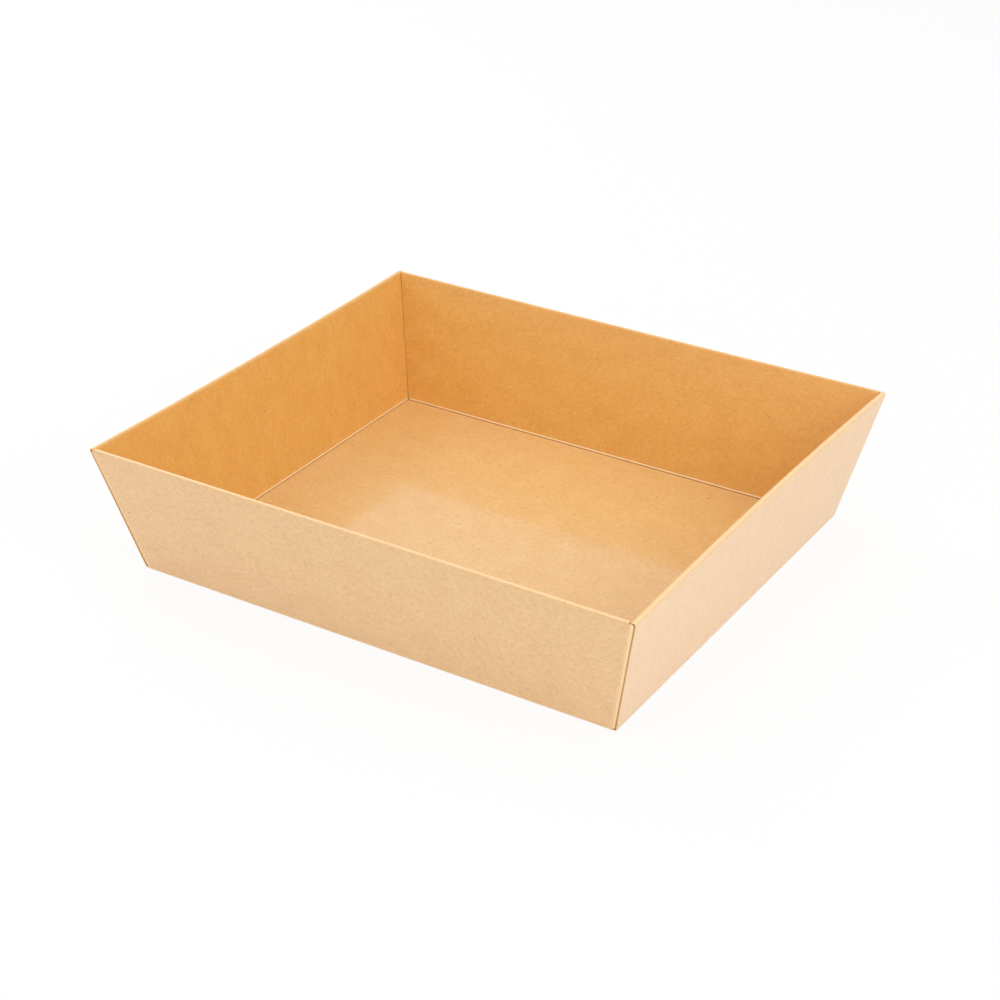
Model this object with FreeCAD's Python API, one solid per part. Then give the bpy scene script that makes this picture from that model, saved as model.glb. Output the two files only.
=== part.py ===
import FreeCAD, Part
import math
import os

# Shallow tray box folded from one sheet of kraft board.
# The origin lies under the middle of the floor, X runs along the long side and Z points up.
# All sizes are in millimetres.

# Outside size of the floor, measured to the sharp corner of the base folds
FLOOR_LENGTH = 270.0
FLOOR_WIDTH = 234.0

# Height of the rim and how far each wall leans out over it
RIM_HEIGHT = 70.0
END_FLARE = 16.0
SIDE_FLARE = 16.0

# Board thickness and the inner radii of its folds
BOARD = 0.5
BASE_FOLD_INSIDE = 0.5
CORNER_FOLD_INSIDE = 1.0

# Hollow inside each double wall, across the rolled rim and at the foot of the inner panel
END_ROLL_HOLLOW = 2.0
SIDE_ROLL_HOLLOW = 1.0
END_FOOT_HOLLOW = 2.5
SIDE_FOOT_HOLLOW = 3.5
FOOT_GAP = 0.4

# How far each rim bows inwards at the middle of its length
END_RIM_BOW = 2.0
FRONT_RIM_BOW = 0.3
BACK_RIM_BOW = 0.7

# Corner flaps, which turn from the long walls in between the panels of the end walls
FLAP_LENGTH = 45.0
FLAP_RISE = 0.3
FLAP_TAPER = 6.0
FLAP_CORNER_RADIUS = 1.3
TUCK_CLEARANCE = 0.4
ROLL_CLEARANCE = 0.5

# Seams between the cut edges of the panels
CUT_EDGE_SETBACK = 0.3
INNER_SEAM_AT_FOOT = 0.3
INNER_SEAM_AT_RIM = 0.4

# Sections that carry a bowed wall, and sections along a flap
WALL_STATIONS = 7
FLAP_STATIONS = 3

# Worked out from the sizes above
HALF_LENGTH = FLOOR_LENGTH / 2
HALF_WIDTH = FLOOR_WIDTH / 2
RIM_HALF_LENGTH = HALF_LENGTH + END_FLARE
RIM_HALF_WIDTH = HALF_WIDTH + SIDE_FLARE
BASE_FOLD = BASE_FOLD_INSIDE + BOARD
CORNER_FOLD = CORNER_FOLD_INSIDE + BOARD
FLOOR_MARGIN = 2 * BASE_FOLD
END_ROLL = END_ROLL_HOLLOW / 2 + BOARD
SIDE_ROLL = SIDE_ROLL_HOLLOW / 2 + BOARD
END_FOOT_INSET = END_FOOT_HOLLOW + 2 * BOARD
SIDE_FOOT_INSET = SIDE_FOOT_HOLLOW + 2 * BOARD
FOOT_HEIGHT = BOARD + FOOT_GAP
FLAP_BOTTOM = BASE_FOLD + FLAP_RISE
FOLD_TOP = RIM_HEIGHT - BOARD - ROLL_CLEARANCE
FLAP_TOP = FOLD_TOP - FLAP_CORNER_RADIUS

# Outlines through the points of wall_profile: two names are a straight run, three are an arc
WALL_OUTLINE = [
    ("floor_under", "fold_under"),
    ("fold_under", "fold_outer_middle", "outer_low"),
    ("outer_low", "outer_high"),
    ("outer_high", "roll_top", "inner_high"),
    ("inner_high", "inner_foot"),
    ("inner_foot", "foot_back"),
    ("foot_back", "back_high"),
    ("back_high", "hollow_top", "hollow_high"),
    ("hollow_high", "hollow_low"),
    ("hollow_low", "fold_inner_middle", "fold_over"),
    ("fold_over", "floor_over"),
    ("floor_over", "floor_under"),
]
STRIP_OUTLINE = [
    ("floor_under", "fold_under"),
    ("fold_under", "fold_outer_middle", "outer_low"),
    ("outer_low", "strip_outer_top"),
    ("strip_outer_top", "strip_inner_top"),
    ("strip_inner_top", "hollow_low"),
    ("hollow_low", "fold_inner_middle", "fold_over"),
    ("fold_over", "floor_over"),
    ("floor_over", "floor_under"),
]


def between(at_floor, at_rim, height):
    """Value on the straight line from the floor to the rim."""
    return at_floor + (at_rim - at_floor) * height / RIM_HEIGHT


def lean_outside(flare, roll):
    """Lean from upright of the face that runs from the base corner to the outside of the roll."""
    across = flare - roll
    up = RIM_HEIGHT - roll
    return math.atan2(across, up) + math.asin(roll / math.hypot(across, up))


def lean_inside(flare, roll, inset):
    """Lean from upright of the face that runs from the inner foot to the inside of the roll."""
    across = flare + inset - roll
    up = RIM_HEIGHT - roll - FOOT_HEIGHT
    return math.atan2(across, up) - math.asin(roll / math.hypot(across, up))


def rim_bow(bow, share):
    """Inward bow of a rim at a share of its half length, nothing at the ends."""
    return bow * (1 - share * share)


SIDE_LEAN = lean_outside(SIDE_FLARE, SIDE_ROLL)
SIDE_LEVEL_BOARD = BOARD / math.cos(SIDE_LEAN)
END_LEVEL_BOARD = BOARD / math.cos(lean_outside(END_FLARE, END_ROLL))


def wall_profile(base, flare, roll, inset):
    """Points of one double wall's section, as distance from the middle and height."""
    def at(centre, distance, angle):
        return (centre[0] + distance * math.cos(angle), centre[1] + distance * math.sin(angle))

    outside = lean_outside(flare, roll)
    inside = lean_inside(flare, roll, inset)
    fold_length = BASE_FOLD * math.tan((math.pi / 2 - outside) / 2)
    fold = (base - fold_length, BASE_FOLD)
    fold_middle = -(math.pi / 2 + outside) / 2
    rim = (base + flare - roll, RIM_HEIGHT - roll)
    foot = (base - inset, FOOT_HEIGHT)
    strip_top = base + FOLD_TOP * math.tan(outside)
    return {
        "floor_under": (base - FLOOR_MARGIN, 0.0),
        "fold_under": (fold[0], 0.0),
        "fold_outer_middle": at(fold, BASE_FOLD, fold_middle),
        "outer_low": at(fold, BASE_FOLD, -outside),
        "outer_high": at(rim, roll, -outside),
        "roll_top": at(rim, roll, math.pi / 2),
        "inner_high": at(rim, roll, math.pi - inside),
        "inner_foot": foot,
        "foot_back": at(foot, BOARD, -inside),
        "back_high": at(rim, roll - BOARD, math.pi - inside),
        "hollow_top": at(rim, roll - BOARD, math.pi / 2),
        "hollow_high": at(rim, roll - BOARD, -outside),
        "hollow_low": at(fold, BASE_FOLD_INSIDE, -outside),
        "fold_inner_middle": at(fold, BASE_FOLD_INSIDE, fold_middle),
        "fold_over": (fold[0], BOARD),
        "floor_over": (base - FLOOR_MARGIN, BOARD),
        "strip_outer_top": (strip_top, FOLD_TOP),
        "strip_inner_top": (strip_top - BOARD / math.cos(outside), FOLD_TOP),
    }


def section(profile, outline, along):
    """Closed wire of a wall that faces -Y, in the plane where X is a function of the height."""
    edges = []
    for names in outline:
        points = []
        for name in names:
            outward, height = profile[name]
            points.append(FreeCAD.Vector(along(height), -outward, height))
        curve = Part.Arc(*points) if len(points) == 3 else Part.LineSegment(*points)
        edges.append(curve.toShape())
    return Part.Wire(edges)


def double_wall(base, flare, roll, inset, bow, wall_end):
    """Wall that faces -Y: base fold, outer panel, rolled rim and inner panel in one."""
    sections = []
    for index in range(WALL_STATIONS):
        share = 2 * index / (WALL_STATIONS - 1) - 1
        profile = wall_profile(base, flare - rim_bow(bow, share), roll, inset)
        sections.append(section(profile, WALL_OUTLINE, lambda height: share * wall_end(height)))
    return Part.makeLoft(sections, True, True)


def side_face(height):
    """Y of the front wall's outer face beside the corner."""
    return -(HALF_WIDTH + height * math.tan(SIDE_LEAN))


def end_inner_face(height):
    """X of the end wall's inner face at its ends, where the rim doesn't bow."""
    lean = lean_inside(END_FLARE, END_ROLL, END_FOOT_INSET)
    return HALF_LENGTH - END_FOOT_INSET + (height - FOOT_HEIGHT) * math.tan(lean)


def side_wall_end(height):
    """X where the long walls' roll and inner panel stop, a seam short of the end wall."""
    at_foot = end_inner_face(0) - INNER_SEAM_AT_FOOT
    at_rim = end_inner_face(RIM_HEIGHT) - INNER_SEAM_AT_RIM
    return between(at_foot, at_rim, height)


def end_wall_end(height):
    """Half width of the end walls' outer panel and roll at a height."""
    return between(HALF_WIDTH, RIM_HALF_WIDTH, height) - CUT_EDGE_SETBACK


def flap_face(distance, height):
    """X of a flap's outer face, at a distance from the long wall's face."""
    share = (RIM_HALF_WIDTH - distance) / end_wall_end(RIM_HEIGHT)
    lean = lean_outside(END_FLARE - rim_bow(END_RIM_BOW, share), END_ROLL)
    at_rim = HALF_LENGTH + RIM_HEIGHT * math.tan(lean)
    return between(HALF_LENGTH, at_rim, height) - END_LEVEL_BOARD - TUCK_CLEARANCE


def fold_centre(height):
    """Centre of the corner fold at a height."""
    x = flap_face(CORNER_FOLD, height) - CORNER_FOLD
    return FreeCAD.Vector(x, side_face(height) + CORNER_FOLD, height)


def corner_strip():
    """Front wall past its roll: base fold and outer panel, up to where the corner fold starts."""
    profile = wall_profile(HALF_WIDTH, SIDE_FLARE, SIDE_ROLL, SIDE_FOOT_INSET)
    start = section(profile, STRIP_OUTLINE, side_wall_end)
    end = section(profile, STRIP_OUTLINE, lambda height: fold_centre(height).x)
    return Part.makeLoft([start, end], True, True)


def corner_fold(low, high):
    """Fold that turns the front wall's outer panel into the flap, along the leaning corner."""
    centre = fold_centre(low)
    across = FreeCAD.Vector(1, 0, 0)
    out = FreeCAD.Vector(0, -1, 0)
    diagonal = FreeCAD.Vector(math.sqrt(0.5), -math.sqrt(0.5), 0)
    side_inside = CORNER_FOLD - SIDE_LEVEL_BOARD
    flap_inside = CORNER_FOLD - END_LEVEL_BOARD
    outer_start = centre + out * CORNER_FOLD
    outer_end = centre + across * CORNER_FOLD
    inner_end = centre + across * flap_inside
    inner_start = centre + out * side_inside
    outer_middle = centre + diagonal * CORNER_FOLD
    inner_middle = centre + diagonal * ((side_inside + flap_inside) / 2)
    outline = Part.Wire([
        Part.Arc(outer_start, outer_middle, outer_end).toShape(),
        Part.LineSegment(outer_end, inner_end).toShape(),
        Part.Arc(inner_end, inner_middle, inner_start).toShape(),
        Part.LineSegment(inner_start, outer_start).toShape(),
    ])
    return Part.Face(outline).extrude(fold_centre(high) - centre)


def corner_round():
    """Cutter that rounds the top of the corner fold, seen from the front."""
    radius = FLAP_CORNER_RADIUS
    margin = BOARD
    far = fold_centre(FOLD_TOP).x + CORNER_FOLD
    centre = FreeCAD.Vector(far - radius, -RIM_HALF_WIDTH - margin, FLAP_TOP)
    side = centre + FreeCAD.Vector(radius, 0, 0)
    top = centre + FreeCAD.Vector(0, 0, radius)
    diagonal = FreeCAD.Vector(math.sqrt(0.5), 0, math.sqrt(0.5))
    beside = side + FreeCAD.Vector(margin, 0, 0)
    above = top + FreeCAD.Vector(0, 0, margin)
    corner = FreeCAD.Vector(beside.x, beside.y, above.z)
    outline = Part.Wire([
        Part.Arc(side, centre + diagonal * radius, top).toShape(),
        Part.LineSegment(top, above).toShape(),
        Part.LineSegment(above, corner).toShape(),
        Part.LineSegment(corner, beside).toShape(),
        Part.LineSegment(beside, side).toShape(),
    ])
    depth = SIDE_FLARE + CORNER_FOLD + margin
    return Part.Face(outline).extrude(FreeCAD.Vector(0, depth, 0))


def corner_flap():
    """Flap behind the end wall's outer panel, from the corner fold to its tapered free end."""
    sections = []
    for index in range(FLAP_STATIONS):
        share = index / (FLAP_STATIONS - 1)
        distance = CORNER_FOLD + FLAP_LENGTH * share
        low = FLAP_BOTTOM + FLAP_TAPER * share
        high = FLAP_TOP - FLAP_TAPER * share
        points = []
        for height, inside in ((low, 0), (high, 0), (high, 1), (low, 1)):
            x = flap_face(distance, height) - inside * END_LEVEL_BOARD
            points.append(FreeCAD.Vector(x, side_face(height) + distance, height))
        sections.append(Part.makePolygon(points + points[:1]))
    return Part.makeLoft(sections, True, True)


def corner_turn():
    """Everything of the front wall past its roll: strip, fold with rounded top, and flap."""
    upper = corner_strip().fuse(corner_fold(FLAP_TOP, FOLD_TOP)).cut(corner_round())
    return upper.fuse([corner_fold(FLAP_BOTTOM, FLAP_TOP), corner_flap()])


def panel_notch():
    """Cutter that ends the end wall's inner panel inside the front wall, below the roll."""
    room = 2 * END_FOOT_INSET
    near = SIDE_LEVEL_BOARD + TUCK_CLEARANCE
    rings = []
    for height in (BOARD + FOOT_GAP / 4, FOLD_TOP + TUCK_CLEARANCE):
        outer = between(HALF_LENGTH - END_FOOT_INSET / 2, RIM_HALF_LENGTH - END_ROLL, height)
        face = side_face(height)
        points = [
            FreeCAD.Vector(outer, face + near, height),
            FreeCAD.Vector(outer - room, face + near, height),
            FreeCAD.Vector(outer - room, face - room, height),
            FreeCAD.Vector(outer, face - room, height),
        ]
        rings.append(Part.makePolygon(points + points[:1]))
    return Part.makeLoft(rings, True, True)


def four_corners(shape):
    """Copies of a shape made at the front right corner, mirrored to all four."""
    middle = FreeCAD.Vector(0, 0, 0)
    pair = [shape, shape.mirror(middle, FreeCAD.Vector(1, 0, 0))]
    return pair + [copy.mirror(middle, FreeCAD.Vector(0, 1, 0)) for copy in pair]


def turned(shape, angle):
    """Copy of a shape turned about the upright axis."""
    copy = shape.copy()
    copy.rotate(FreeCAD.Vector(0, 0, 0), FreeCAD.Vector(0, 0, 1), angle)
    return copy


def end_walls():
    """Both end walls, with their inner panels stopped short of the long walls' outer panels."""
    wall = double_wall(HALF_LENGTH, END_FLARE, END_ROLL, END_FOOT_INSET, END_RIM_BOW, end_wall_end)
    notches = four_corners(panel_notch())
    return [turned(wall, angle).cut(notches) for angle in (90, -90)]


def side_walls():
    """Front and back walls, whose rims bow by different amounts."""
    walls = []
    for bow, angle in ((FRONT_RIM_BOW, 0), (BACK_RIM_BOW, 180)):
        wall = double_wall(HALF_WIDTH, SIDE_FLARE, SIDE_ROLL, SIDE_FOOT_INSET, bow, side_wall_end)
        walls.append(turned(wall, angle))
    return walls


def floor():
    """Floor between the base folds."""
    half_length = HALF_LENGTH - FLOOR_MARGIN
    half_width = HALF_WIDTH - FLOOR_MARGIN
    corner = FreeCAD.Vector(-half_length, -half_width, 0)
    return Part.makeBox(2 * half_length, 2 * half_width, BOARD, corner)


def folded_tray():
    """The whole tray as the one folded sheet that it is."""
    pieces = side_walls() + end_walls() + four_corners(corner_turn())
    return floor().fuse(pieces).removeSplitter()


os.makedirs("parts", exist_ok=True)
tray = folded_tray()
tray.exportStep("parts/folded_tray.step")
print("solids", len(tray.Solids), "valid", tray.isValid(), "volume", round(tray.Volume, 1))
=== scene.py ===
import math
from collections import namedtuple

import bmesh
import bpy
from bpy.props import FloatProperty, FloatVectorProperty, PointerProperty
from mathutils import Matrix, Vector, noise


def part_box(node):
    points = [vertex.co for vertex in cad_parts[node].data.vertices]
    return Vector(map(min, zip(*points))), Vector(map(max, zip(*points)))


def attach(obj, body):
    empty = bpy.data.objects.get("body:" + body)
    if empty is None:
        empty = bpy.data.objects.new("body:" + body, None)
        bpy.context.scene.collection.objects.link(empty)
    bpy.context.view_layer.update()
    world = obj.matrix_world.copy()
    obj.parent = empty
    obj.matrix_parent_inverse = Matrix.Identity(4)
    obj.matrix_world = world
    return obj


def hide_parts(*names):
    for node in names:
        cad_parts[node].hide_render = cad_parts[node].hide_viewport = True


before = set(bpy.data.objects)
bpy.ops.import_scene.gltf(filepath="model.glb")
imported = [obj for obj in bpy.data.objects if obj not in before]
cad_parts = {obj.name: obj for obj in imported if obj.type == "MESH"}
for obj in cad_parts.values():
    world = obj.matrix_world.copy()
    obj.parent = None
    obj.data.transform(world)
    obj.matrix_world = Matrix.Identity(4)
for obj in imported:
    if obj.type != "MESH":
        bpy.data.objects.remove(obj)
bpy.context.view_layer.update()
TRAY_LOW, TRAY_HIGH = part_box("folded_tray")

bl_info = {
    "name": "Folded Kraft Tray",
    "version": (1, 0, 0),
    "blender": (4, 5, 0),
    "location": "View3D > Sidebar > Tray",
    "description": "Folds a shallow tray from one sheet of kraft board and sets it on a pale studio floor",
    "category": "Object",
}

MM = 0.001

# Steps of the grids that the sheet is folded from: up a wall, along it, and round a corner
FOLD_STEPS = 6
OUTER_STEPS = 16
ROLL_STEPS = 14
INNER_STEPS = 18
LIP_STEPS = 4
WALL_STEPS = 48
CORNER_STEPS = 8
FLAP_STEPS = 8

# Columns between a long wall's roll and its corner fold, as shares of the way; which of them is a scored
# line, and how strongly it takes the pale crease colour, partly stretched fibres and partly a painted
# highlight
STRIP_SHARES = (0.3, 0.5, 0.75, 1.0)
SCORED_SHARES = (0.5,)
SCORED_CREASE_AND_HIGHLIGHT = 0.8

# Lip at the inner panels' feet: the angle that it turns through, and how far it stays clear of the
# corners
LIP_TURN = math.radians(50)
LIP_SETBACK = 0.3 * MM

# Paler band at the crest of a roll, partly stretched fibres and partly a painted highlight: where it lies and
# how far it fades, as shares of its turn
CREST_SHARE = 0.42
CREST_WIDTH = 0.26

# Share of a length at which a supporting line lies close to its end, and how near two points are to
# become one
SUPPORT = 0.994
MERGE_DISTANCE = 0.002 * MM

# A wall of the tray: its base line, its flare, the radius of its roll, how far its inner foot stands
# in, the bow of its rim, the edge of the flat floor before it, and its turn from facing -Y
Wall = namedtuple("Wall", "base flare roll inset bow floor_edge turn")

# A column of a wall: its share of the half length, the top of its outer panel, its place along the
# wall at a row and height, and how far it is a scored line
Column = namedtuple("Column", "share top along scored")

# A point of the sheet: its place, its place on the flat blank, how far it is inner panel, and how far it
# takes the pale crease colour, partly stretched fibres and partly a painted highlight
Spot = namedtuple("Spot", "place blank inside crease")


def linear(code):
    """Linear colour of an sRGB hex value."""
    shares = [int(code[start:start + 2], 16) / 255 for start in (0, 2, 4)]
    return [share / 12.92 if share <= 0.04045 else ((share + 0.055) / 1.055) ** 2.4 for share in shares]


def length(name, description, default):
    """Length property whose default is given in millimetres."""
    return FloatProperty(
        name=name, description=description, default=default * MM, min=0.0, precision=5, unit="LENGTH"
    )


def colour(name, description, code):
    """Colour property whose default is given as an sRGB hex value."""
    return FloatVectorProperty(
        name=name, description=description, default=linear(code), min=0.0, max=1.0, size=3, subtype="COLOR"
    )


class TraySizes(bpy.types.PropertyGroup):
    """Driving sizes of the folded tray."""

    floor_length: length("Floor length", "Floor length to the sharp corners of the base folds", 270.0)
    floor_width: length("Floor width", "Floor width to the sharp corners of the base folds", 234.0)
    rim_length: length("Rim length", "Outside length over the rolled rims", 302.0)
    rim_width: length("Rim width", "Outside width over the rolled rims", 266.0)
    rim_height: length("Rim height", "Height of the rims over the ground", (TRAY_HIGH.z - TRAY_LOW.z) / MM)
    rim_fit: length("Rim fit", "How far the rims stay inside the solid's box", 0.01)
    board: length("Board", "Thickness of the board", 0.5)
    base_fold_inside: length("Base fold", "Inner radius of the folds along the floor", 0.5)
    corner_fold_inside: length("Corner fold", "Inner radius of the folds at the corners", 1.0)
    end_roll_hollow: length("End roll hollow", "Hollow across the rolled rim of an end wall", 2.0)
    side_roll_hollow: length("Side roll hollow", "Hollow across the rolled rim of a long wall", 1.0)
    end_foot_hollow: length("End foot hollow", "Hollow at the foot of an end wall's inner panel", 2.5)
    side_foot_hollow: length("Side foot hollow", "Hollow at the foot of a long wall's inner panel", 3.5)
    foot_gap: length("Foot gap", "Gap between the inner panels' feet and the floor", 0.4)
    end_rim_bow: length("End rim bow", "Inward bow of an end rim at its middle", 2.0)
    front_rim_bow: length("Front rim bow", "Inward bow of the front rim at its middle", 0.3)
    back_rim_bow: length("Back rim bow", "Inward bow of the back rim at its middle", 0.7)
    flap_length: length("Flap length", "Length of a corner flap past its fold", 45.0)
    flap_rise: length("Flap rise", "Height of a flap's lower edge over the base fold", 0.3)
    flap_taper: length("Flap taper", "How much a flap narrows along each edge", 6.0)
    flap_corner_radius: length("Flap corner radius", "Rounding at the top of a corner fold", 1.3)
    tuck_clearance: length("Tuck clearance", "Clearance between a tucked flap and its panel", 0.4)
    roll_clearance: length("Roll clearance", "Clearance over a corner fold inside the end wall's roll", 0.5)
    cut_edge_setback: length("Cut edge setback", "How far an end wall's cut edge stands back", 0.3)
    seam_at_foot: length("Seam at foot", "Seam between the inner panels at the floor", 0.3)
    seam_at_rim: length("Seam at rim", "Seam between the inner panels at the rim", 0.4)
    foot_lip: length("Foot lip", "Radius of the lip that the inner panels turn in to at their feet", 1.0)
    waviness: length("Waviness", "How far a panel of the board strays from flat", 0.16)
    wave: length("Wave length", "Distance over which a panel strays from flat", 55.0)


class TrayColours(bpy.types.PropertyGroup):
    """Colours of the board and its surroundings."""

    outside_pale: colour("Outside pale", "Paler patches of the outer face", "f4c88e")
    outside_deep: colour("Outside deep", "Deeper patches of the outer face", "efc186")
    # Painted shade: the inner panels are the outer face of the same board, painted a warmer, deeper tan for
    # the shade and coloured bounce light inside the tray
    shaded_inside_pale: colour("Inner panel pale", "Paler patches of the inner panels", "edb255")
    shaded_inside_deep: colour("Inner panel deep", "Deeper patches of the inner panels", "e6a848")
    floor_pale: colour("Floor pale", "Paler patches of the lined floor", "eec07c")
    floor_deep: colour("Floor deep", "Deeper patches of the lined floor", "e9b870")
    fibre_dark: colour("Dark fibre", "Darker fibres in the board", "b5803f")
    fibre_pale: colour("Pale fibre", "Paler fibres in the board", "fbe0b6")
    speck: colour("Speck", "Specks of bark in the board", "7a4f22")
    # Pale crease colour: partly stretched fibres, partly a painted highlight along the folds, the roll's
    # crest and the foot's lip
    crease: colour("Crease", "Stretched fibres along the folds", "ffdcaa")
    cut: colour("Cut edge", "Die-cut edge of the board", "f3cf9e")
    ground: colour("Ground", "Paper under and behind the tray", "f4f4f2")


class Folding:
    """Where the panels of the folded sheet lie, worked out from the sizes."""

    def __init__(self, sizes):
        self.sizes = sizes
        self.height = sizes.rim_height
        self.half_length = sizes.floor_length / 2
        self.half_width = sizes.floor_width / 2
        self.rim_half_length = sizes.rim_length / 2 - sizes.rim_fit
        self.rim_half_width = sizes.rim_width / 2 - sizes.rim_fit
        self.base_fold = sizes.base_fold_inside + sizes.board
        self.corner_fold = sizes.corner_fold_inside + sizes.board
        self.foot_height = sizes.board + sizes.foot_gap
        self.end_roll = sizes.end_roll_hollow / 2 + sizes.board
        self.side_roll = sizes.side_roll_hollow / 2 + sizes.board
        self.end_inset = sizes.end_foot_hollow + 2 * sizes.board
        self.side_inset = sizes.side_foot_hollow + 2 * sizes.board
        self.flap_bottom = self.base_fold + sizes.flap_rise
        self.fold_top = self.height - sizes.board - sizes.roll_clearance
        self.flap_top = self.fold_top - sizes.flap_corner_radius
        self.end_flare = self.rim_half_length - self.half_length
        self.side_flare = self.rim_half_width - self.half_width
        self.end_lean = self.lean_outside(self.end_flare, self.end_roll)
        self.side_lean = self.lean_outside(self.side_flare, self.side_roll)
        self.end_level_board = sizes.board / math.cos(self.end_lean)
        self.side_level_board = sizes.board / math.cos(self.side_lean)
        self.end_floor_edge = self.half_length - self.fold_setback(self.end_lean)
        self.side_floor_edge = self.half_width - self.fold_setback(self.side_lean)

    def end_wall(self, turn):
        """End wall that faces +X or -X."""
        bow = self.sizes.end_rim_bow
        return Wall(
            self.half_length, self.end_flare, self.end_roll, self.end_inset, bow, self.end_floor_edge, turn
        )

    def long_wall(self, bow, turn):
        """Front or back wall."""
        return Wall(
            self.half_width, self.side_flare, self.side_roll, self.side_inset, bow, self.side_floor_edge, turn
        )

    def between(self, at_floor, at_rim, height):
        """Value on the straight line from the floor to the rim."""
        return at_floor + (at_rim - at_floor) * height / self.height

    def fold_setback(self, lean):
        """Distance from a base fold's sharp corner to where the flat floor ends."""
        return self.base_fold * math.tan((math.pi / 2 - lean) / 2)

    def lean_outside(self, flare, roll):
        """Lean from upright of a wall's outer face."""
        across = flare - roll
        up = self.height - roll
        return math.atan2(across, up) + math.asin(roll / math.hypot(across, up))

    def lean_inside(self, flare, roll, inset):
        """Lean from upright of a wall's inner face."""
        across = flare + inset - roll
        up = self.height - roll - self.foot_height
        return math.atan2(across, up) - math.asin(roll / math.hypot(across, up))

    def side_face(self, height):
        """Distance from the middle to a long wall's outer face beside the corner."""
        return self.half_width + height * math.tan(self.side_lean)

    def end_inner_face(self, height):
        """Half length to the end walls' inner face at its ends, where the rim doesn't bow."""
        lean = self.lean_inside(self.end_flare, self.end_roll, self.end_inset)
        return self.half_length - self.end_inset + (height - self.foot_height) * math.tan(lean)

    def side_wall_end(self, height):
        """Half length of the long walls' roll and inner panel, a seam short of the end walls."""
        at_foot = self.end_inner_face(0) - self.sizes.seam_at_foot
        at_rim = self.end_inner_face(self.height) - self.sizes.seam_at_rim
        return self.between(at_foot, at_rim, height)

    def panel_top(self, roll, lean):
        """Height that the rows of an outer panel are spread up to, just below its roll."""
        return self.height - roll * (1 + math.sin(lean)) - self.sizes.board / 2

    def end_wall_end(self, height):
        """Half width of the end walls' outer panel and roll."""
        return self.between(self.half_width, self.rim_half_width, height) - self.sizes.cut_edge_setback

    def inner_panel_end(self, height):
        """Half width of the end walls' inner panel, inside the long walls' outer panels."""
        return self.side_face(height) - self.side_level_board - self.sizes.tuck_clearance

    def flap_face(self, distance, height):
        """Half length to a flap's outer face, at a distance from the long wall's face."""
        share = (self.rim_half_width - distance) / self.end_wall_end(self.height)
        flare = self.end_flare - self.sizes.end_rim_bow * (1 - share * share)
        at_rim = self.half_length + self.height * math.tan(self.lean_outside(flare, self.end_roll))
        behind = self.end_level_board + self.sizes.tuck_clearance
        return self.between(self.half_length, at_rim, height) - behind

    def fold_start(self, height):
        """Half length to where a long wall's outer panel starts to turn into its flap."""
        return self.flap_face(self.corner_fold, height) - self.corner_fold

    def rounded_top(self, past_fold_start):
        """Top of the corner fold, which is rounded towards the flap."""
        radius = self.sizes.flap_corner_radius
        across = past_fold_start - self.corner_fold + radius
        if across <= 0:
            return self.fold_top
        return self.flap_top + math.sqrt(max(radius * radius - across * across, 0.0))

    def outer_heights(self, top):
        """Heights of the rows of an outer panel that reaches to a given top."""
        rise = (top - self.flap_bottom) / OUTER_STEPS
        return [self.flap_bottom + rise * step for step in range(OUTER_STEPS + 1)]

    def section(self, wall, share, top):
        """Outer skin of a wall's section as distance from the middle and height, floor edge first."""
        flare = wall.flare - wall.bow * (1 - share * share)
        outside = self.lean_outside(flare, wall.roll)
        inside = self.lean_inside(flare, wall.roll, wall.inset)
        fold_middle = (wall.base - self.fold_setback(outside), self.base_fold)
        rim_middle = (wall.base + flare - wall.roll, self.height - wall.roll)
        points = [(wall.floor_edge, 0.0)]
        points += arc(fold_middle, self.base_fold, -math.pi / 2, -outside, FOLD_STEPS)[1:]
        points += [(wall.base + height * math.tan(outside), height) for height in self.outer_heights(top)]
        points += arc(rim_middle, wall.roll, -outside, math.pi - inside, ROLL_STEPS)
        lip = self.sizes.foot_lip
        lip_end = self.foot_height + self.sizes.foot_gap / 2
        lip_middle = lip_end + lip * math.sin(inside + LIP_TURN)
        above_foot = lip_middle - lip * math.sin(inside) - self.foot_height
        lip_start = wall.base - wall.inset + above_foot * math.tan(inside)
        lip_centre = (lip_start - lip * math.cos(inside), lip_middle)
        points += run(points[-1], (lip_start, self.foot_height + above_foot), INNER_STEPS)
        points += arc(lip_centre, lip, -inside, -inside - LIP_TURN, LIP_STEPS)[1:]
        return points


def arc(middle, radius, start, end, steps):
    """Points along an arc."""
    angles = [start + (end - start) * step / steps for step in range(steps + 1)]
    return [(middle[0] + radius * math.cos(angle), middle[1] + radius * math.sin(angle)) for angle in angles]


def run(start, end, steps):
    """Points along a straight run after its start, the first of them close to it."""
    shares = [1 - SUPPORT] + [step / (steps - 1) for step in range(1, steps)]
    return [tuple(a + (b - a) * share for a, b in zip(start, end)) for share in shares]


# Rows of a wall, counted from the floor's edge: how many its base fold has, the last of its outer
# panel, the first of its roll, inner panel and lip, and how many there are
FOLD_ROWS = FOLD_STEPS + 1
TOP_ROW = FOLD_ROWS + OUTER_STEPS
ROLL_ROW = TOP_ROW + 1
INNER_ROW = ROLL_ROW + ROLL_STEPS + 1
LIP_ROW = INNER_ROW + INNER_STEPS
ROWS = LIP_ROW + LIP_STEPS


def inner_share(row):
    """How far a row of a wall belongs to the inner panel: nothing outside, rising over the roll."""
    return min(max((row - ROLL_ROW) / ROLL_STEPS, 0.0), 1.0)


def crease_and_highlight_share(row):
    """How far a row of a wall takes the pale crease colour, partly stretched fibres and partly a painted
    highlight: on the base fold, the crest of the roll or the foot's lip.
    """
    if 0 < row < FOLD_ROWS or row >= LIP_ROW:
        return 1.0
    from_crest = abs((row - ROLL_ROW) / ROLL_STEPS - CREST_SHARE)
    return max(1 - from_crest / CREST_WIDTH, 0.0)


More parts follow.
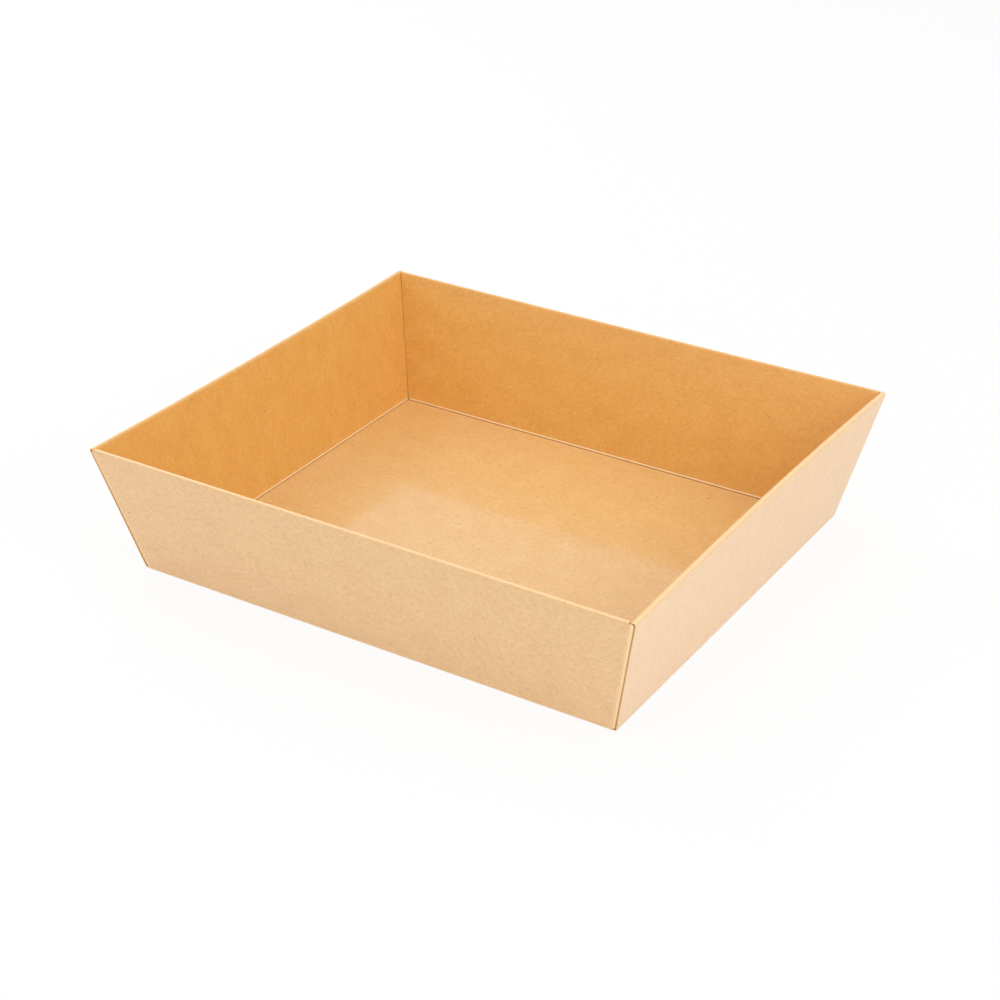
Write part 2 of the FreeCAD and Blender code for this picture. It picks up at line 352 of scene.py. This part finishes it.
def wall_shares():
    """Shares of the half length at which a wall's columns stand, with one close to each end."""
    inner = [2 * step / WALL_STEPS - 1 for step in range(1, WALL_STEPS)]
    return [-1.0, -SUPPORT] + inner + [SUPPORT, 1.0]


def arch(share):
    """One halfway across a panel, and nothing at both of its edges."""
    return 4 * share * (1 - share)


def ripple(sizes, along, up, share):
    """How far a panel strays inwards at a place on it, nothing along its folds."""
    wave = noise.noise(Vector((along / sizes.wave, up / sizes.wave, 0.0)))
    return sizes.waviness * arch(share) * (1 + wave) / 2


def travels(points):
    """Distance along the sheet from the first point to each point."""
    total = [0.0]
    for before, after in zip(points, points[1:]):
        total.append(total[-1] + math.dist(before, after))
    return total


def add_patch(bm, rows, columns, spot_at):
    """Grid of board whose points are carried from the flat blank to where they lie once folded."""
    made = bmesh.ops.create_grid(bm, x_segments=columns - 1, y_segments=rows - 1, size=1.0)
    blank = bm.verts.layers.float_vector["blank"]
    inside = bm.verts.layers.float["inside"]
    crease = bm.verts.layers.float["crease"]
    for vert in made["verts"]:
        column = round((vert.co.x + 1) / 2 * (columns - 1))
        row = round((vert.co.y + 1) / 2 * (rows - 1))
        spot = spot_at(row, column)
        vert.co = spot.place
        vert[blank] = spot.blank
        vert[inside] = spot.inside
        vert[crease] = spot.crease


def add_wall(bm, folding, wall, columns, first_row, last_row):
    """Stretch of a wall from its first row to its last, across the given columns."""
    turn = Matrix.Rotation(wall.turn, 3, "Z")
    sections = [folding.section(wall, column.share, column.top) for column in columns]
    lengths = [travels(section) for section in sections]

    def spot_at(step, column):
        row = first_row + step
        outward, height = sections[column][row]
        along = columns[column].along(row, height)
        # Painted highlight: the folds, the roll's crest and the foot's lip take the pale crease colour,
        # partly for stretched fibres
        crease = max(crease_and_highlight_share(row), columns[column].scored)
        panel = height / folding.height if row >= FOLD_ROWS else 0.0
        strayed = ripple(folding.sizes, along + wall.turn, height + inner_share(row), panel)
        place = Vector((along, strayed - outward, height))
        blank = Vector((along, -wall.floor_edge - lengths[column][row], 0.0))
        return Spot(turn @ place, turn @ blank, inner_share(row), crease)

    add_patch(bm, last_row - first_row + 1, len(columns), spot_at)


def long_wall_columns(folding):
    """Columns of a long wall between the ends of its roll."""
    top = folding.panel_top(folding.side_roll, folding.side_lean)

    def column(share):
        def along(row, height):
            lip = LIP_SETBACK if row >= LIP_ROW else 0.0
            return share * (folding.side_wall_end(height) - lip)

        return Column(share, top, along, 0.0)

    return [column(share) for share in wall_shares()]


def strip_columns(folding, side):
    """Columns of a long wall's outer panel past its roll, up to where the corner fold starts."""
    def column(over):
        def along(row, height):
            start = folding.side_wall_end(height)
            return side * (start + over * (folding.fold_start(height) - start))

        top_width = folding.fold_start(folding.fold_top) - folding.side_wall_end(folding.fold_top)
        top = folding.rounded_top((over - 1) * top_width)
        return Column(1.0, top, along, SCORED_CREASE_AND_HIGHLIGHT if over in SCORED_SHARES else 0.0)

    return [column(over) for over in STRIP_SHARES]


def end_wall_columns(folding):
    """Columns of an end wall, as wide as the floor at its base fold and narrower down its inner panel."""
    top = folding.panel_top(folding.end_roll, folding.end_lean)
    lip_end = folding.half_width - folding.side_inset - 2 * LIP_SETBACK

    def column(share):
        def along(row, height):
            full = folding.end_wall_end(height)
            if row < FOLD_ROWS:
                return share * (folding.side_floor_edge + (full - folding.side_floor_edge) * row / FOLD_STEPS)
            if row >= LIP_ROW:
                return share * lip_end
            return share * (min(full, folding.inner_panel_end(height)) if row >= INNER_ROW else full)

        return Column(share, top, along, 0.0)

    return [column(share) for share in wall_shares()]


def add_long_wall(bm, folding, bow, turn):
    """Long wall with its strips past the roll, then the roll and inner panel between them."""
    wall = folding.long_wall(bow, turn)
    middle = long_wall_columns(folding)
    right = strip_columns(folding, 1)
    left = strip_columns(folding, -1)[::-1]
    add_wall(bm, folding, wall, left + middle + right, 0, TOP_ROW)
    add_wall(bm, folding, wall, middle, TOP_ROW, ROWS - 1)


def add_corner(bm, folding, side, front):
    """Corner fold and tucked flap, on the right or left and at the front or back."""
    sizes = folding.sizes
    travel = travels(folding.section(folding.long_wall(0.0, 0.0), 1.0, folding.fold_top))

    def spot_at(row, column):
        if column <= CORNER_STEPS:
            angle = math.pi / 2 * column / CORNER_STEPS
            top = folding.rounded_top(folding.corner_fold * math.sin(angle))
            height = folding.outer_heights(top)[row]
            x = folding.fold_start(height) + folding.corner_fold * math.sin(angle)
            y = folding.side_face(height) - folding.corner_fold * (1 - math.cos(angle))
            past = folding.corner_fold * angle
        else:
            share = (column - CORNER_STEPS) / FLAP_STEPS
            distance = folding.corner_fold + sizes.flap_length * share
            low = folding.flap_bottom + sizes.flap_taper * share
            high = folding.flap_top - sizes.flap_taper * share
            height = low + (high - low) * row / OUTER_STEPS
            x = folding.flap_face(distance, height)
            y = folding.side_face(height) - distance
            past = folding.corner_fold * math.pi / 2 + sizes.flap_length * share
        blank_x = folding.fold_start(height) + past
        blank_y = folding.side_floor_edge + travel[FOLD_ROWS + row]
        # Painted highlight: the corner fold takes the pale crease colour, partly for stretched fibres
        crease = 1.0 if column <= CORNER_STEPS else 0.0
        place = Vector((side * x, -front * y, height))
        return Spot(place, Vector((side * blank_x, -front * blank_y, 0.0)), 0.0, crease)

    add_patch(bm, OUTER_STEPS + 1, CORNER_STEPS + FLAP_STEPS + 1, spot_at)


def add_floor(bm, folding):
    """Floor between the base folds, with its lines where the walls' columns stand."""
    columns = strip_columns(folding, -1)[::-1] + long_wall_columns(folding) + strip_columns(folding, 1)
    across = [column.along(0, 0.0) for column in columns]
    across = [-folding.end_floor_edge] + across + [folding.end_floor_edge]
    deep = [share * folding.side_floor_edge for share in wall_shares()]

    def spot_at(row, column):
        x, y = across[column], deep[row]
        share_x = (x / folding.end_floor_edge + 1) / 2
        share_y = (y / folding.side_floor_edge + 1) / 2
        rise = ripple(folding.sizes, x, y, share_x) * arch(share_y)
        # Painted highlight: the floor's edges along the base folds take the pale crease colour, partly for
        # stretched fibres
        on_fold = column in (0, len(across) - 1) or row in (0, len(deep) - 1)
        return Spot(Vector((x, y, rise)), Vector((x, y, 0.0)), 0.0, 1.0 if on_fold else 0.0)

    add_patch(bm, len(deep), len(across), spot_at)


def fold_sheet(sizes):
    """Mesh of the whole sheet's outer skin, with its place on the flat blank as a UV map in metres."""
    folding = Folding(sizes)
    bm = bmesh.new()
    blank = bm.verts.layers.float_vector.new("blank")
    bm.verts.layers.float.new("inside")
    bm.verts.layers.float.new("crease")
    add_floor(bm, folding)
    add_long_wall(bm, folding, sizes.front_rim_bow, 0.0)
    add_long_wall(bm, folding, sizes.back_rim_bow, math.pi)
    for turn in (math.pi / 2, -math.pi / 2):
        add_wall(bm, folding, folding.end_wall(turn), end_wall_columns(folding), 0, ROWS - 1)
    for side in (1, -1):
        for front in (1, -1):
            add_corner(bm, folding, side, front)
    bmesh.ops.remove_doubles(bm, verts=bm.verts, dist=MERGE_DISTANCE)
    lowered = 1 - 2 * sizes.rim_fit / sizes.rim_height
    bmesh.ops.scale(bm, vec=(1.0, 1.0, lowered), verts=bm.verts)
    bmesh.ops.translate(bm, vec=(0.0, 0.0, sizes.rim_fit), verts=bm.verts)
    bmesh.ops.recalc_face_normals(bm, faces=bm.faces)
    # The face nearest the origin is floor, where the outer skin faces the ground
    underside = min(bm.faces, key=lambda face: face.calc_center_median().length)
    if underside.normal.z > 0:
        bmesh.ops.reverse_faces(bm, faces=bm.faces)
    uv = bm.loops.layers.uv.new("Blank")
    for face in bm.faces:
        face.smooth = True
        for loop in face.loops:
            loop[uv].uv = loop.vert[blank].xy
    mesh = bpy.data.meshes.new("tray_sheet")
    bm.to_mesh(mesh)
    bm.free()
    return mesh


def add(tree, kind, inputs=None, **settings):
    """Adds a node with its settings, and sets or links its inputs by name or number."""
    made = tree.nodes.new(kind)
    for name, value in settings.items():
        setattr(made, name, value)
    for name, value in (inputs or {}).items():
        if isinstance(value, bpy.types.NodeSocket):
            tree.links.new(value, made.inputs[name])
        else:
            made.inputs[name].default_value = value
    return made


def new_material(name):
    """Empty node material and its node tree."""
    material = bpy.data.materials.new(name)
    material.use_nodes = True
    material.node_tree.nodes.clear()
    return material, material.node_tree


# Fibres in the board: turn from the grain in degrees, length and width in millimetres, the level of
# the noise above which one shows, and how strongly it shows
DARK_FIBRES = ((8, 3.0, 0.8, 0.59, 0.24), (-41, 2.6, 0.75, 0.60, 0.24), (64, 2.4, 0.7, 0.61, 0.22))
PALE_FIBRES = ((-12, 3.2, 0.8, 0.60, 0.20), (47, 2.8, 0.75, 0.61, 0.20), (-72, 2.4, 0.7, 0.62, 0.18))

# How much a fibre curls, over what part of the noise its edge fades in, and the shifts in metres that
# keep the layers of fibres from lining up
FIBRE_CURL = 1.8
FIBRE_EDGE = 0.12
LAYER_SHIFT = 0.1
PALE_SHIFT = 0.5

# Cloudy patches of the sheet and its finer mottle: their size in millimetres, and the levels of the
# noise between which they come in
CLOUD = 16.0
CLOUD_LEVELS = (0.3, 0.7)
MOTTLE = 3.0
MOTTLE_LEVELS = (0.4, 0.75)
MOTTLE_STRENGTH = 0.22

# A patch's turn from the grain in degrees, its width as a share of its length, and its shift in metres
PATCH_TURN = 12
PATCH_WIDTH = 0.7
PATCH_SHIFT = 0.31

# Grain of the surface: its width in millimetres, and how many times longer it is
GRAIN = 0.45
GRAIN_STRETCH = 2.5

# Specks of bark: their spacing and plain size in millimetres, then the turn from the grain in degrees
# of the cells that they lie in, a cell's width as a share of its length, and their shift in metres
SPECK_SPACING = 11.0
SPECK_SIZE = 0.5
SPECK_TURN = 9
SPECK_CELL_WIDTH = 0.6
SPECK_SHIFT = 0.77

# Share of the cells whose speck stays at its smallest, how many times its plain size a speck can
# reach, the levels between which its edge fades in, and how far it covers the board's colour
SPECK_FREE = 0.35
SPECK_GROWTH = 1.6
SPECK_EDGE = (-0.012, 0.03)
SPECK_STRENGTH = 0.75

# How far the pale crease colour, partly stretched fibres and partly a painted highlight, covers the board's
# colour, the roughness of the sheet's outer face outside and inside the tray, and the size in millimetres of
# the torn fibres on a cut edge
CREASE_AND_HIGHLIGHT_STRENGTH = 0.75
OUTSIDE_ROUGHNESS = 0.5
INSIDE_ROUGHNESS = 0.44
CUT_FIBRE = 0.8


def mapped(tree, turn, length_mm, width_mm, shift):
    """Place on the blank, shifted, turned from the grain and measured in a pattern's lengths and widths."""
    place = add(tree, "ShaderNodeUVMap", uv_map="Blank").outputs["UV"]
    turned = add(tree, "ShaderNodeMapping", {
        "Vector": place, "Rotation": (0.0, 0.0, math.radians(turn)), "Location": (shift, shift, 0.0),
    }, vector_type="POINT").outputs[0]
    scale = (1 / (length_mm * MM), 1 / (width_mm * MM), 1.0)
    return add(tree, "ShaderNodeMapping", {"Vector": turned, "Scale": scale}).outputs[0]


def fibre_mask(tree, turn, length_mm, width_mm, level, strength, shift):
    """Short fibres at one angle to the grain, as a mask."""
    place = mapped(tree, turn, length_mm, width_mm, shift)
    wave = add(tree, "ShaderNodeTexNoise", {
        "Vector": place, "Scale": 1.0, "Detail": 1.0, "Distortion": FIBRE_CURL,
    }).outputs[0]
    return add(tree, "ShaderNodeMapRange", {
        0: wave, 1: level, 2: level + FIBRE_EDGE, 3: 0.0, 4: strength,
    }, interpolation_type="SMOOTHSTEP").outputs[0]


def mixed(tree, factor, first, second):
    """Mix of two colours."""
    return add(tree, "ShaderNodeMix", {0: factor, 6: first, 7: second}, data_type="RGBA").outputs[2]


def opaque(rgb):
    """Colour property's value with full alpha, as a socket takes it."""
    return (*rgb, 1.0)


def cloud_mask(tree, size_mm, low, high):
    """Soft patches of a given size, as a mask."""
    place = mapped(tree, PATCH_TURN, size_mm, size_mm * PATCH_WIDTH, PATCH_SHIFT)
    wave = add(tree, "ShaderNodeTexNoise", {"Vector": place, "Scale": 1.0, "Detail": 3.0}).outputs[0]
    return add(tree, "ShaderNodeMapRange", {0: wave, 1: low, 2: high}).outputs[0]


def speck_mask(tree):
    """Sparse specks of bark, a little longer than wide."""
    place = mapped(tree, SPECK_TURN, SPECK_SPACING, SPECK_SPACING * SPECK_CELL_WIDTH, SPECK_SHIFT)
    cells = add(tree, "ShaderNodeTexVoronoi", {"Vector": place, "Scale": 1.0})
    chance = add(tree, "ShaderNodeSeparateColor", {0: cells.outputs["Color"]})
    largest = SPECK_SIZE / SPECK_SPACING * SPECK_GROWTH
    size = add(tree, "ShaderNodeMapRange", {
        0: chance.outputs[0], 1: SPECK_FREE, 2: 1.0, 3: 0.0, 4: largest,
    }).outputs[0]
    inside = add(tree, "ShaderNodeMath", {0: size, 1: cells.outputs["Distance"]}, operation="SUBTRACT")
    return add(tree, "ShaderNodeMapRange", {
        0: inside.outputs[0], 1: SPECK_EDGE[0], 2: SPECK_EDGE[1], 3: 0.0, 4: SPECK_STRENGTH,
    }, interpolation_type="SMOOTHSTEP").outputs[0]


def with_fibres(tree, colours, base):
    """Board colour with its mottle, fibres and specks laid over it."""
    mottle = add(tree, "ShaderNodeMath", {
        0: cloud_mask(tree, MOTTLE, *MOTTLE_LEVELS), 1: MOTTLE_STRENGTH,
    }, operation="MULTIPLY").outputs[0]
    shade = mixed(tree, mottle, base, opaque(colours.fibre_dark))
    for number, fibre in enumerate(DARK_FIBRES):
        mask = fibre_mask(tree, *fibre, LAYER_SHIFT * number)
        shade = mixed(tree, mask, shade, opaque(colours.fibre_dark))
    for number, fibre in enumerate(PALE_FIBRES):
        mask = fibre_mask(tree, *fibre, PALE_SHIFT + LAYER_SHIFT * number)
        shade = mixed(tree, mask, shade, opaque(colours.fibre_pale))
    return mixed(tree, speck_mask(tree), shade, opaque(colours.speck))


def board_bump(tree, strength, distance_mm):
    """Felted surface of the board: fine grain, a little longer than wide."""
    grain = mapped(tree, 0, GRAIN * GRAIN_STRETCH, GRAIN, 0.0)
    fine = add(tree, "ShaderNodeTexNoise", {"Vector": grain, "Scale": 1.0, "Detail": 3.0}).outputs[0]
    return add(tree, "ShaderNodeBump", {
        "Strength": strength, "Distance": distance_mm * MM, "Height": fine,
    }).outputs[0]


def machine_glazed_kraft(colours):
    """Outer face of the sheet: unbleached kraft board, sized with starch and calendered.

    The eye sees a tan with short curled fibres and a few specks of bark, and a soft white veil where a panel
    is seen at a flat angle. Along the folds, the crest of the roll and the foot's lip it is painted paler,
    partly for stretched fibres and partly as a painted highlight. The face turns over the rim and down inside
    the tray, where it was pressed smoother and is painted a warmer, deeper tan as painted shade for the
    inside of the tray.
    """
    material, tree = new_material("kraft_board_machine_glazed")
    inside = add(tree, "ShaderNodeAttribute", attribute_name="inside").outputs["Fac"]
    crease = add(tree, "ShaderNodeAttribute", attribute_name="crease").outputs["Fac"]
    cloud = cloud_mask(tree, CLOUD, *CLOUD_LEVELS)
    outer = mixed(tree, cloud, opaque(colours.outside_deep), opaque(colours.outside_pale))
    # Painted shade: the inner panels are painted a warmer, deeper tan than the same face outside the tray
    inner = mixed(tree, cloud, opaque(colours.shaded_inside_deep), opaque(colours.shaded_inside_pale))
    base = with_fibres(tree, colours, mixed(tree, inside, outer, inner))
    # Painted highlight, partly stretched fibres: the folds, the roll's crest and the foot's lip are painted
    # paler
    crease_and_highlight_cover = add(tree, "ShaderNodeMath", {0: crease, 1: CREASE_AND_HIGHLIGHT_STRENGTH}, operation="MULTIPLY").outputs[0]
    base = mixed(tree, crease_and_highlight_cover, base, opaque(colours.crease))
    rough = add(tree, "ShaderNodeMapRange", {
        0: inside, 3: OUTSIDE_ROUGHNESS, 4: INSIDE_ROUGHNESS,
    }).outputs[0]
    shader = add(tree, "ShaderNodeBsdfPrincipled", {
        "Base Color": base, "Roughness": rough, "IOR": 1.5, "Normal": board_bump(tree, 0.35, 0.03),
        "Sheen Weight": 0.3, "Sheen Roughness": 0.3, "Coat Weight": 0.9, "Coat Roughness": 0.33,
    })
    add(tree, "ShaderNodeOutputMaterial", {"Surface": shader.outputs[0]})
    return material


def lined_kraft(colours):
    """Inner face of the sheet, seen on the floor: kraft board pressed against a clear gloss film.

    The eye sees the board's warm tan and fibres under a soft gloss that mirrors the walls near it.
    """
    material, tree = new_material("kraft_board_film_lined")
    cloud = cloud_mask(tree, CLOUD, *CLOUD_LEVELS)
    base = mixed(tree, cloud, opaque(colours.floor_deep), opaque(colours.floor_pale))
    base = with_fibres(tree, colours, base)
    shader = add(tree, "ShaderNodeBsdfPrincipled", {
        "Base Color": base, "Roughness": 0.4, "IOR": 1.5, "Coat Weight": 0.9, "Coat Roughness": 0.1,
        "Normal": board_bump(tree, 0.2, 0.02),
    })
    add(tree, "ShaderNodeOutputMaterial", {"Surface": shader.outputs[0]})
    return material


def die_cut_kraft(colours):
    """Edge of the sheet: kraft board sheared by a cutting rule, which leaves it pale and fibrous."""
    material, tree = new_material("kraft_board_die_cut_edge")
    place = add(tree, "ShaderNodeTexCoord").outputs["Object"]
    layers = add(tree, "ShaderNodeTexNoise", {
        "Vector": place, "Scale": 1 / (CUT_FIBRE * MM), "Detail": 3.0,
    })
    base = mixed(tree, layers.outputs[0], opaque(colours.outside_deep), opaque(colours.cut))
    shader = add(tree, "ShaderNodeBsdfPrincipled", {"Base Color": base, "Roughness": 0.8, "IOR": 1.5})
    add(tree, "ShaderNodeOutputMaterial", {"Surface": shader.outputs[0]})
    return material


# Rounding of the board's cut edges as a share of its thickness, and the angle past which an edge of
# the mesh is one of them
CUT_EDGE_ROUNDING = 0.12
CUT_EDGE_ANGLE = math.radians(55)


class TRAY_OT_fold_sheet(bpy.types.Operator):
    """Fold the tray from one sheet of board and give it its thickness and finishes"""

    bl_idname = "tray.fold_sheet"
    bl_label = "Fold the tray"

    def execute(self, context):
        sizes = context.scene.tray_sizes
        colours = context.scene.tray_colours
        mesh = fold_sheet(sizes)
        # The thickness takes the second material for the sheet's other face and the third for its edge
        for material in (machine_glazed_kraft(colours), lined_kraft(colours), die_cut_kraft(colours)):
            mesh.materials.append(material)
        tray = bpy.data.objects.new("tray_sheet", mesh)
        context.scene.collection.objects.link(tray)
        thickness = tray.modifiers.new("Board", "SOLIDIFY")
        thickness.thickness = sizes.board
        thickness.offset = -1.0
        thickness.use_even_offset = True
        thickness.use_quality_normals = True
        thickness.material_offset = 1
        thickness.material_offset_rim = 2
        edge = tray.modifiers.new("Cut edge", "BEVEL")
        edge.width = sizes.board * CUT_EDGE_ROUNDING
        edge.segments = 2
        edge.limit_method = "ANGLE"
        edge.angle_limit = CUT_EDGE_ANGLE
        edge.harden_normals = True
        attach(tray, "root")
        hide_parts("folded_tray")
        return {"FINISHED"}


# Camera of the picture: where it stands in metres, its angles in degrees and its lens in millimetres
CAMERA_PLACE = (0.51061, -0.82169, 0.55177)
CAMERA_AZIMUTH = 31.796
CAMERA_ELEVATION = 28.605
CAMERA_ROLL = 0.282
CAMERA_LENS = 78.07

# Soft round lamps: name, place and width in metres, and power in watts; each is aimed at the tray
LAMPS = (
    ("key_right", (1.15, -0.35, 0.85), 1.0, 7.2),
    ("front_fill", (-0.35, -1.3, 0.8), 1.2, 3.0),
    ("back_left_soft", (-1.0, 0.45, 0.75), 0.9, 4.5),
    ("overhead_soft", (0.0, 0.1, 1.3), 1.2, 2.6),
)
AIM = Vector((0.0, 0.0, 0.03))

# Width of the paper under the tray in metres, how strongly the sky lights the tray, and how far the
# paper is shown as plain white; the rest of it keeps the tray's shadow
GROUND_SIZE = 12.0
SKY_LIGHT = 0.63
GROUND_SHOWN_WHITE = 0.9


def seen_directly(tree):
    """One where the camera, a mirror or glass looks at the surface, nothing for scattered light."""
    path = add(tree, "ShaderNodeLightPath").outputs
    both = add(tree, "ShaderNodeMath", {
        0: path["Is Camera Ray"], 1: path["Is Glossy Ray"],
    }, operation="MAXIMUM").outputs[0]
    return add(tree, "ShaderNodeMath", {
        0: both, 1: path["Is Transmission Ray"],
    }, operation="MAXIMUM").outputs[0]


def seamless_paper(colours):
    """Ground under the tray: uncoated white background paper, smooth and quite matt."""
    material, tree = new_material("background_paper_uncoated")
    paper = add(tree, "ShaderNodeBsdfDiffuse", {"Color": opaque(colours.ground)})
    white = add(tree, "ShaderNodeEmission", {"Strength": 1.0})
    shown = add(tree, "ShaderNodeMath", {
        0: seen_directly(tree), 1: GROUND_SHOWN_WHITE,
    }, operation="MULTIPLY").outputs[0]
    shader = add(tree, "ShaderNodeMixShader", {0: shown, 1: paper.outputs[0], 2: white.outputs[0]})
    add(tree, "ShaderNodeOutputMaterial", {"Surface": shader.outputs[0]})
    return material


def make_ground(context, colours):
    """Wide sheet of paper under the tray."""
    bm = bmesh.new()
    bmesh.ops.create_grid(bm, x_segments=1, y_segments=1, size=GROUND_SIZE / 2)
    mesh = bpy.data.meshes.new("ground")
    bm.to_mesh(mesh)
    bm.free()
    mesh.materials.append(seamless_paper(colours))
    ground = bpy.data.objects.new("ground", mesh)
    context.scene.collection.objects.link(ground)


def make_sky(context):
    """White surroundings, seen at full white and lighting the tray softly."""
    world = bpy.data.worlds.new("studio")
    world.use_nodes = True
    tree = world.node_tree
    tree.nodes.clear()
    strength = add(tree, "ShaderNodeMapRange", {0: seen_directly(tree), 3: SKY_LIGHT, 4: 1.0}).outputs[0]
    sky = add(tree, "ShaderNodeBackground", {"Color": (1.0, 1.0, 1.0, 1.0), "Strength": strength})
    add(tree, "ShaderNodeOutputWorld", {"Surface": sky.outputs[0]})
    context.scene.world = world


def make_lamps(context):
    """Large soft lamps aimed at the tray."""
    for name, place, width, power in LAMPS:
        light = bpy.data.lights.new(name, "AREA")
        light.shape = "DISK"
        light.size = width
        light.energy = power
        lamp = bpy.data.objects.new(name, light)
        lamp.location = place
        lamp.rotation_euler = (AIM - Vector(place)).to_track_quat("-Z", "Y").to_euler()
        context.scene.collection.objects.link(lamp)


def make_camera(context):
    """Camera at the picture's viewing angle."""
    lens = bpy.data.cameras.new("picture_camera")
    lens.lens = CAMERA_LENS
    camera = bpy.data.objects.new("picture_camera", lens)
    turned = Matrix.Rotation(math.radians(CAMERA_AZIMUTH), 4, "Z")
    tilted = Matrix.Rotation(math.radians(90 - CAMERA_ELEVATION), 4, "X")
    rolled = Matrix.Rotation(math.radians(CAMERA_ROLL), 4, "Z")
    camera.matrix_world = Matrix.Translation(CAMERA_PLACE) @ turned @ tilted @ rolled
    context.scene.collection.objects.link(camera)
    context.scene.camera = camera


class TRAY_OT_set_stage(bpy.types.Operator):
    """Set the ground, the soft light and the camera"""

    bl_idname = "tray.set_stage"
    bl_label = "Set the stage"

    def execute(self, context):
        make_ground(context, context.scene.tray_colours)
        make_sky(context)
        make_lamps(context)
        make_camera(context)
        context.scene.view_settings.view_transform = "Standard"
        return {"FINISHED"}


class TRAY_PT_sidebar(bpy.types.Panel):
    """Steps, sizes and colours of the folded tray"""

    bl_label = "Folded Kraft Tray"
    bl_idname = "TRAY_PT_sidebar"
    bl_space_type = "VIEW_3D"
    bl_region_type = "UI"
    bl_category = "Tray"

    def draw(self, context):
        layout = self.layout
        layout.operator(TRAY_OT_fold_sheet.bl_idname)
        layout.operator(TRAY_OT_set_stage.bl_idname)
        for group in (context.scene.tray_sizes, context.scene.tray_colours):
            column = layout.column()
            for name in group.__annotations__:
                column.prop(group, name)


CLASSES = (TraySizes, TrayColours, TRAY_OT_fold_sheet, TRAY_OT_set_stage, TRAY_PT_sidebar)


def register():
    """Registers the classes and hangs the tray's settings on the scene."""
    for item in CLASSES:
        bpy.utils.register_class(item)
    bpy.types.Scene.tray_sizes = PointerProperty(type=TraySizes)
    bpy.types.Scene.tray_colours = PointerProperty(type=TrayColours)


def unregister():
    """Takes the tray's settings and classes away again."""
    del bpy.types.Scene.tray_colours
    del bpy.types.Scene.tray_sizes
    for item in reversed(CLASSES):
        bpy.utils.unregister_class(item)


def main():
    """Makes the tray and its stage."""
    register()
    bpy.ops.tray.fold_sheet()
    bpy.ops.tray.set_stage()


if __name__ == "__main__":
    main()
